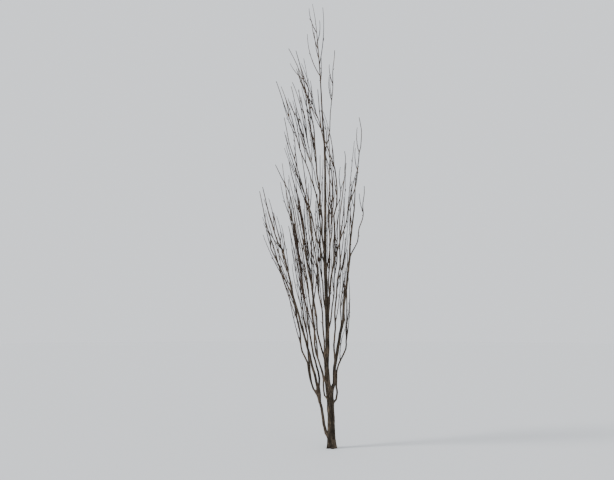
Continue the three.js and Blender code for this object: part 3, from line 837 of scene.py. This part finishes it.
def bark_material(bark):
    """Bark that ages with a limb's girth: smooth and brown with tan streaks, then grey and furrowed, with
    painted shade darkening its cracks and furrows
    """
    maker = MaterialMaker(BARK)
    girth, furrow = maker.attribute("girth"), maker.attribute("furrow")
    grain = maker.attribute("grain", "Vector")
    streak_place = maker.scaled(grain, STREAK_STRETCH)
    pore_place = maker.scaled(grain, PORE_STRETCH)
    old = maker.between(girth, YOUNG_UNDER, OLD_OVER)
    streaks = maker.pattern(streak_place, *STREAKS)
    cracks = maker.pattern(streak_place, *CRACKS)
    patches = maker.pattern(maker.scaled(maker.place(), PATCH_STRETCH), *PATCHES)
    mottle = maker.noise(grain, *MOTTLE)
    cells = maker.add("ShaderNodeTexVoronoi", sockets={"Vector": pore_place, "Scale": PORE_SCALE})
    pores = maker.between(cells, *PORE_EDGES) * (1 - old)

    ground = maker.mix(old, bark.young_colour, bark.old_colour)
    light = maker.mix(old, bark.streak_colour, bark.ridge_colour)
    colour = maker.mix(streaks * varied(STREAK_SHOWS, patches), ground, light)
    mottled = maker.between(mottle, *MOTTLE_EDGES) * varied(MOTTLE_SHOWS, patches)
    colour = maker.mix(mottled, colour, light)
    # Painted shade: the cracks are darkened towards near black
    colour = maker.mix(cracks * CRACK_SHADE_SHOWS, colour, bark.painted_shade_colour)
    colour = maker.mix(pores * PORE_SHOWS, colour, bark.streak_colour)
    # Painted shade: the bottoms of the furrows are darkened towards near black
    colour = maker.mix(furrow * FURROW_SHADE_SHOWS, colour, bark.painted_shade_colour)
    height = MOTTLE_HEIGHT * mottle - CRACK_DEPTH * cracks + STREAK_HEIGHT * streaks + PORE_HEIGHT * pores
    bump = maker.add("ShaderNodeBump", sockets={
        "Strength": BUMP_STRENGTH, "Distance": BUMP_DISTANCE, "Height": height,
    }, output="Normal")
    roughness = varied(BARK_ROUGHNESS, old) + MOTTLE_ROUGHNESS * mottle
    return maker.finish({"Base Color": colour, "Roughness": roughness, "Normal": bump})


def twig_material(name, colour):
    """Thin smooth bark in one plain colour, mottled a little"""
    maker = MaterialMaker(name)
    mottle = maker.pattern(maker.place(), *TWIG_MOTTLE)
    shades = [[part * share for part in colour] for share in TWIG_SHADES]
    roughness = varied(TWIG_ROUGHNESS, mottle)
    return maker.finish({"Base Color": maker.mix(mottle, *shades), "Roughness": roughness})


FLOOR_SPECKLE, FLOOR_SHADE = (40, 4), 0.97


def floor_material(colour):
    """A plain pale finish with faint speckles"""
    maker = MaterialMaker("Pale floor")
    speckle = maker.noise(maker.place(), *FLOOR_SPECKLE)
    darker = [part * FLOOR_SHADE for part in colour]
    return maker.finish({"Base Color": maker.mix(speckle, darker, colour)})


# Geometry Nodes

class GroupMaker(NodeMaker):
    """A Geometry Nodes group with named inputs: numbers by their defaults, and materials without one"""

    KINDS = {float: "NodeSocketFloat", int: "NodeSocketInt", type(None): "NodeSocketMaterial"}

    def __init__(self, name, inputs):
        super().__init__(bpy.data.node_groups.new(name, "GeometryNodeTree"))
        new_socket = self.tree.interface.new_socket
        new_socket("Geometry", in_out="INPUT", socket_type="NodeSocketGeometry")
        for label, default in inputs.items():
            socket = new_socket(label, in_out="INPUT", socket_type=self.KINDS[type(default)])
            if default is not None:
                socket.default_value = default
        new_socket("Geometry", in_out="OUTPUT", socket_type="NodeSocketGeometry")
        self.start = self.tree.nodes.new("NodeGroupInput")
        self.end = self.tree.nodes.new("NodeGroupOutput")

    def given(self, label):
        """One of the group's own inputs"""
        return Number(self, self.start.outputs[label])

    def named(self, label, kind="FLOAT"):
        """A named attribute"""
        return self.add("GeometryNodeInputNamedAttribute", {"data_type": kind}, {"Name": label})

    def joined(self, across, along):
        """A vector with one size on X and Y, and another on Z"""
        return self.add("ShaderNodeCombineXYZ", sockets={"X": across, "Y": across, "Z": along})

    def realized(self, shapes):
        """Shapes made smooth and real"""
        smoothed = self.add("GeometryNodeSetShadeSmooth", sockets={"Geometry": shapes})
        return self.add("GeometryNodeRealizeInstances", sockets={"Geometry": smoothed})

    def covered(self, shape, label, **chosen):
        """A shape, or the chosen part of it, with the material of the given name"""
        sockets = {"Geometry": shape, "Material": self.given(label), **chosen}
        return self.add("GeometryNodeSetMaterial", sockets=sockets)

    def finish(self, geometry):
        """Links the shape that the group gives"""
        self.tree.links.new(geometry.socket, self.end.inputs["Geometry"])
        return self.tree


TINT_MARGIN = 0.3  # tints are whole numbers


def twig_group():
    """Round twigs along edges, by the girth and the tint of their points"""
    maker = GroupMaker("Twigs along lines", {"Sides": 5, **dict.fromkeys(TWIG_TINTS)})
    curves = maker.add("GeometryNodeMeshToCurve", sockets={"Mesh": maker.given("Geometry")})
    profile = maker.add("GeometryNodeCurvePrimitiveCircle",
                        sockets={"Resolution": maker.given("Sides"), "Radius": 0.5})
    tubes = maker.add("GeometryNodeCurveToMesh", sockets={
        "Curve": curves, "Profile Curve": profile, "Scale": maker.named("girth"), "Fill Caps": True,
    })
    twigs = maker.realized(tubes)
    tint = maker.named("tint")
    for number, label in enumerate(TWIG_TINTS):
        chosen = maker.add("FunctionNodeCompare", {"data_type": "FLOAT", "operation": "EQUAL"},
                           {"A": tint, "B": float(number), "Epsilon": TINT_MARGIN})
        twigs = maker.covered(twigs, label, Selection=chosen)
    return maker.finish(twigs)


BUD_SIDES, BUD_RINGS = 5, 2
BUD_FOOT = 0.36  # the radius of a bud's foot, as a share of its girth
BUD_BELLY = 2.6  # how much a bud swells between its foot and its point


def bud_group():
    """Pointed buds on their seats, each turned to the way that its seat points"""
    maker = GroupMaker("Buds on seats", {
        "Bud length": 0.005, "Bud girth": 0.003, "Size spread": 0.25, "Seed": 7, "Bud scales": None,
    })
    cone = maker.add("GeometryNodeMeshCone", {"fill_type": "NGON"}, {
        "Vertices": BUD_SIDES, "Side Segments": BUD_RINGS,
        "Radius Top": 0.0, "Radius Bottom": BUD_FOOT, "Depth": 1.0,
    })
    place = maker.add("GeometryNodeInputPosition")
    height = maker.add("ShaderNodeSeparateXYZ", sockets={"Vector": place}, output="Z")
    belly = 1 + BUD_BELLY * height * (1 - height)
    shaped = maker.scaled(place, maker.joined(belly, 1.0))
    bud = maker.add("GeometryNodeSetPosition", sockets={"Geometry": cone, "Position": shaped})
    turn = maker.add("FunctionNodeAlignRotationToVector", {"axis": "Z"},
                     {"Vector": maker.named("points_to", "FLOAT_VECTOR")})
    spread = maker.given("Size spread")
    change = maker.add("FunctionNodeRandomValue", {"data_type": "FLOAT"}, {
        2: 1 - spread, 3: 1 + spread, "Seed": maker.given("Seed"),
    }, output=1)
    size = maker.named("size") * change
    scale = maker.joined(maker.given("Bud girth") * size, maker.given("Bud length") * size)
    buds = maker.add("GeometryNodeInstanceOnPoints", sockets={
        "Points": maker.given("Geometry"), "Instance": bud, "Rotation": turn, "Scale": scale,
    })
    return maker.finish(maker.covered(maker.realized(buds), "Bud scales"))


def grown_by(piece, group, values):
    """Gives a piece the group's shape as a plain mesh"""
    modifier = piece.modifiers.new(group.name, "NODES")
    modifier.node_group = group
    for item in group.interface.items_tree:
        if item.in_out == "INPUT" and item.name in values:
            modifier[item.identifier] = values[item.name]
    seen = piece.evaluated_get(bpy.context.evaluated_depsgraph_get())
    mesh = bpy.data.meshes.new_from_object(seen)
    piece.modifiers.clear()
    piece.data = mesh
    if not mesh.polygons:
        raise PieceError(f"{piece.name} came out empty")
    return piece


# Settings

def length_setting(name, description, default):
    return FloatProperty(name=name, description=description, default=default, min=0, subtype="DISTANCE",
                         unit="LENGTH")


def colour_setting(name, description, default):
    return FloatVectorProperty(name=name, description=description, default=default, min=0, max=1, size=3,
                               subtype="COLOR")


class MulberryBark(bpy.types.PropertyGroup):
    """Sizes and colours of the bark"""

    furrow_depth: length_setting("Furrow depth", "Depth of the furrows at the trunk's foot", 0.0034)
    furrow_width: length_setting("Furrow width", "Width from one furrow to the next", 0.021)
    furrow_length: length_setting("Furrow length", "Length of a furrow before it joins another", 0.085)
    young_colour: colour_setting("Young bark", "Smooth bark of young limbs", (0.027, 0.0205, 0.0145))
    streak_colour: colour_setting("Streaks", "Tan streaks and pores on young bark", (0.18, 0.132, 0.092))
    old_colour: colour_setting("Old bark", "Bark of the trunk and old boughs", (0.02, 0.016, 0.0115))
    ridge_colour: colour_setting("Ridges", "Weathered ridges of old bark", (0.15, 0.115, 0.082))
    # Near-black painted shade for the bottoms of furrows and cracks
    painted_shade_colour: colour_setting("Furrows", "Bottom of furrows and cracks", (0.004, 0.003, 0.002))


class MulberryTwigs(bpy.types.PropertyGroup):
    """Sizes and colours of the twigs and buds"""

    node_gap: length_setting("Bud spacing", "Length of a twig from one bud to the next", 0.036)
    bud_length: length_setting("Bud length", "Length of a full bud", 0.0055)
    bud_girth: length_setting("Bud girth", "Thickness of a full bud", 0.0034)
    sides: IntProperty(name="Sides", description="Faces round a twig", default=5, min=3, max=12)
    grey_colour: colour_setting("Grey twigs", "Weathered twigs", (0.03, 0.024, 0.0185))
    red_colour: colour_setting("Red twigs", "Last year's twigs", (0.036, 0.02, 0.014))
    tan_colour: colour_setting("Tan twigs", "Twigs bleached by the sun", (0.075, 0.054, 0.038))
    bud_colour: colour_setting("Buds", "Bud scales", (0.026, 0.015, 0.01))


class MulberryStage(bpy.types.PropertyGroup):
    """Places and strengths of the camera, the floor and the lights"""

    eye_height: length_setting("Eye height", "Height of the camera", 1.6)
    eye_distance: length_setting("Distance", "Distance of the camera in front of the trunk", 8.294)
    eye_aside: length_setting("Aside", "Distance of the camera to the left of the trunk", 0.327)
    pitch: FloatProperty(name="Pitch", description="Upward tilt of the camera",
                         default=math.radians(8.29), subtype="ANGLE")
    floor_radius: length_setting("Floor radius", "Radius of the pale floor", 60)
    floor_colour: colour_setting("Floor", "The floor's colour", (0.62, 0.63, 0.64))
    sky_colour: colour_setting("Backdrop", "Colour of the even light all round", (0.86, 0.89, 0.93))
    key_strength: FloatProperty(name="Key light", description="Strength of the soft light from the left",
                                default=3.2, min=0)
    fill_strength: FloatProperty(name="Fill light", default=1.0, min=0,
                                 description="Strength of the weak light from the right front")


# Pieces

TRUNK_SIDES, TRUNK_STEP, TRUNK_SEED = 96, 8.6, 1
LIMB_FACET, LIMB_STEP, LIMB_SEEDS = 5.6, 12, 10
FEWEST_SIDES, MOST_SIDES = 12, 32
MOST_TRIANGLES = 200_000


def finished(piece, replaced):
    """Hangs a piece on the root and hides the solids that it stands for, and stops if the frame lacks them
    or the piece is too heavy
    """
    missing = [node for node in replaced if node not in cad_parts]
    if missing:
        raise PieceError(f"{piece.name} stands for {missing}, which the frame lacks")
    triangles = sum(len(face.vertices) - 2 for face in piece.data.polygons)
    if triangles > MOST_TRIANGLES:
        raise PieceError(f"{piece.name} has {triangles} triangles")
    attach(piece, "root")
    if replaced:
        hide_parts(*replaced)


class MULBERRY_OT_trunk(bpy.types.Operator):
    """Makes the trunk's furrowed bark, from its flared foot up through the leader"""

    bl_idname = "mulberry.trunk"
    bl_label = "Trunk"

    def execute(self, context):
        bark = context.scene.mulberry_bark
        piece = bark_piece("trunk_bark", TRUNK, TRUNK_SIDES, TRUNK_STEP, TRUNK_SEED, bark, level=True)
        finished(piece, ["trunk"])
        return {"FINISHED"}


class MULBERRY_OT_limbs(bpy.types.Operator):
    """Makes the bark of each limb, from its fork to its tip"""

    bl_idname = "mulberry.limbs"
    bl_label = "Limbs"

    def execute(self, context):
        bark = context.scene.mulberry_bark
        for index, line in enumerate(LIMBS.values()):
            if line is TRUNK:
                continue
            sides = 2 * round(math.pi * line.girth / LIMB_FACET / 2)
            sides = min(max(sides, FEWEST_SIDES), MOST_SIDES)
            piece = bark_piece(f"limb_bark_{line.name}", line, sides, LIMB_STEP, LIMB_SEEDS * index, bark)
            finished(piece, [f"bough_{line.name}"])
        return {"FINISHED"}


class MULBERRY_OT_twigs(bpy.types.Operator):
    """Grows the twigs and buds of every mass by one rule, as pieces for each side of the crown"""

    bl_idname = "mulberry.twigs"
    bl_label = "Twigs and buds"

    def execute(self, context):
        twigs = context.scene.mulberry_twigs
        for_twigs = {"Sides": twigs.sides}
        for label, field in TWIG_TINTS.items():
            for_twigs[label] = twig_material(label, getattr(twigs, field))
        scales = twig_material("Bud scales", twigs.bud_colour)
        for_buds = {"Bud length": twigs.bud_length, "Bud girth": twigs.bud_girth, "Bud scales": scales}
        along_lines, on_seats = twig_group(), bud_group()
        for side in SIDES:
            masses = [mass for mass in MASSES if side_of(mass) == side]
            lines = TwigLines(twigs.node_gap / MM)
            for mass in masses:
                for number, spray in enumerate(sprays_of(mass)):
                    tint = (mass.seed + number) % len(TWIG_TINTS)
                    for order, twig in enumerate(spray):
                        lines.add(twig, tint, number + GOLDEN_ANGLE * order)
            piece = grown_by(lines.line_piece(f"twigs_{side}"), along_lines, for_twigs)
            finished(piece, [f"mass_{mass.name}" for mass in masses])
            buds = grown_by(lines.seat_piece(f"buds_{side}"), on_seats, for_buds)
            finished(buds, [])
        return {"FINISHED"}


LENS, SENSOR = 35, 36
FLOOR_SIDES, FLOOR_GAP = 128, 0.5
SKY_STRENGTH = 1.25
KEY_PLACE, KEY_SPREAD = (-7.5, -2, 8), math.radians(14)
FILL_PLACE, FILL_SPREAD = (6, -7, 4), math.radians(50)
LIT_PLACE = (-0.1, 0, 2.8)


def make_camera(stage):
    """The camera at the photograph's viewing angle"""
    eye = bpy.data.cameras.new("Camera")
    eye.lens, eye.sensor_width, eye.sensor_fit = LENS, SENSOR, "HORIZONTAL"
    camera = linked("Camera", eye)
    camera.location = (-stage.eye_aside, -stage.eye_distance, stage.eye_height)
    camera.rotation_euler = (math.pi / 2 + stage.pitch, 0, 0)
    return camera


def make_floor(stage):
    """A round floor, just below the foot of the trunk"""
    ring = np.arange(FLOOR_SIDES)
    angle = ring * 2 * math.pi / FLOOR_SIDES
    rim = np.stack([np.cos(angle), np.sin(angle), 0 * angle], axis=-1) * stage.floor_radius / MM
    places = np.concatenate([rim, [[0, 0, 0]]]) - (0, 0, FLOOR_GAP)
    faces = fan(FLOOR_SIDES, ring, (ring + 1) % FLOOR_SIDES)
    floor = solid_mesh("floor", places, np.empty((0, 4)), faces)
    floor.data.materials.append(floor_material(stage.floor_colour))


def make_backdrop(stage):
    """Even light from all round"""
    world = bpy.data.worlds.new("Soft backdrop")
    world.use_nodes = True
    light = world.node_tree.nodes["Background"]
    light.inputs["Color"].default_value = (*stage.sky_colour, 1)
    light.inputs["Strength"].default_value = SKY_STRENGTH
    return world


def make_lamp(name, strength, spread, place):
    """A soft light that shines on the tree's middle"""
    lamp = bpy.data.lights.new(name, "SUN")
    lamp.energy = strength
    lamp.angle = spread
    holder = linked(name, lamp)
    holder.location = place
    towards = Vector(LIT_PLACE) - holder.location
    holder.rotation_euler = towards.to_track_quat("-Z", "Y").to_euler()


class MULBERRY_OT_stage(bpy.types.Operator):
    """Sets up the camera, the pale floor and the soft lights"""

    bl_idname = "mulberry.stage"
    bl_label = "Stage"

    def execute(self, context):
        stage = context.scene.mulberry_stage
        context.scene.camera = make_camera(stage)
        make_floor(stage)
        context.scene.world = make_backdrop(stage)
        make_lamp("Key light", stage.key_strength, KEY_SPREAD, KEY_PLACE)
        make_lamp("Fill light", stage.fill_strength, FILL_SPREAD, FILL_PLACE)
        return {"FINISHED"}


class MULBERRY_PT_tree(bpy.types.Panel):
    """Lists the tree's pieces with their settings"""

    bl_idname = "MULBERRY_PT_tree"
    bl_label = "Mulberry Tree"
    bl_space_type = "VIEW_3D"
    bl_region_type = "UI"
    bl_category = "Mulberry"

    def draw(self, context):
        for operators, settings in (
            ((MULBERRY_OT_trunk, MULBERRY_OT_limbs), context.scene.mulberry_bark),
            ((MULBERRY_OT_twigs,), context.scene.mulberry_twigs),
            ((MULBERRY_OT_stage,), context.scene.mulberry_stage),
        ):
            box = self.layout.box()
            for operator in operators:
                box.operator(operator.bl_idname)
            for label in settings.__annotations__:
                box.prop(settings, label)


SETTINGS = {
    "mulberry_bark": MulberryBark,
    "mulberry_twigs": MulberryTwigs,
    "mulberry_stage": MulberryStage,
}
OPERATORS = (MULBERRY_OT_stage, MULBERRY_OT_trunk, MULBERRY_OT_limbs, MULBERRY_OT_twigs)


def register():
    for label, settings in SETTINGS.items():
        bpy.utils.register_class(settings)
        setattr(bpy.types.Scene, label, PointerProperty(type=settings))
    for entry in (*OPERATORS, MULBERRY_PT_tree):
        bpy.utils.register_class(entry)


def unregister():
    for entry in (MULBERRY_PT_tree, *reversed(OPERATORS)):
        bpy.utils.unregister_class(entry)
    for label, settings in reversed(SETTINGS.items()):
        delattr(bpy.types.Scene, label)
        bpy.utils.unregister_class(settings)


def main():
    register()
    bpy.ops.mulberry.stage()
    bpy.ops.mulberry.trunk()
    bpy.ops.mulberry.limbs()
    bpy.ops.mulberry.twigs()


if __name__ == "__main__":
    main()
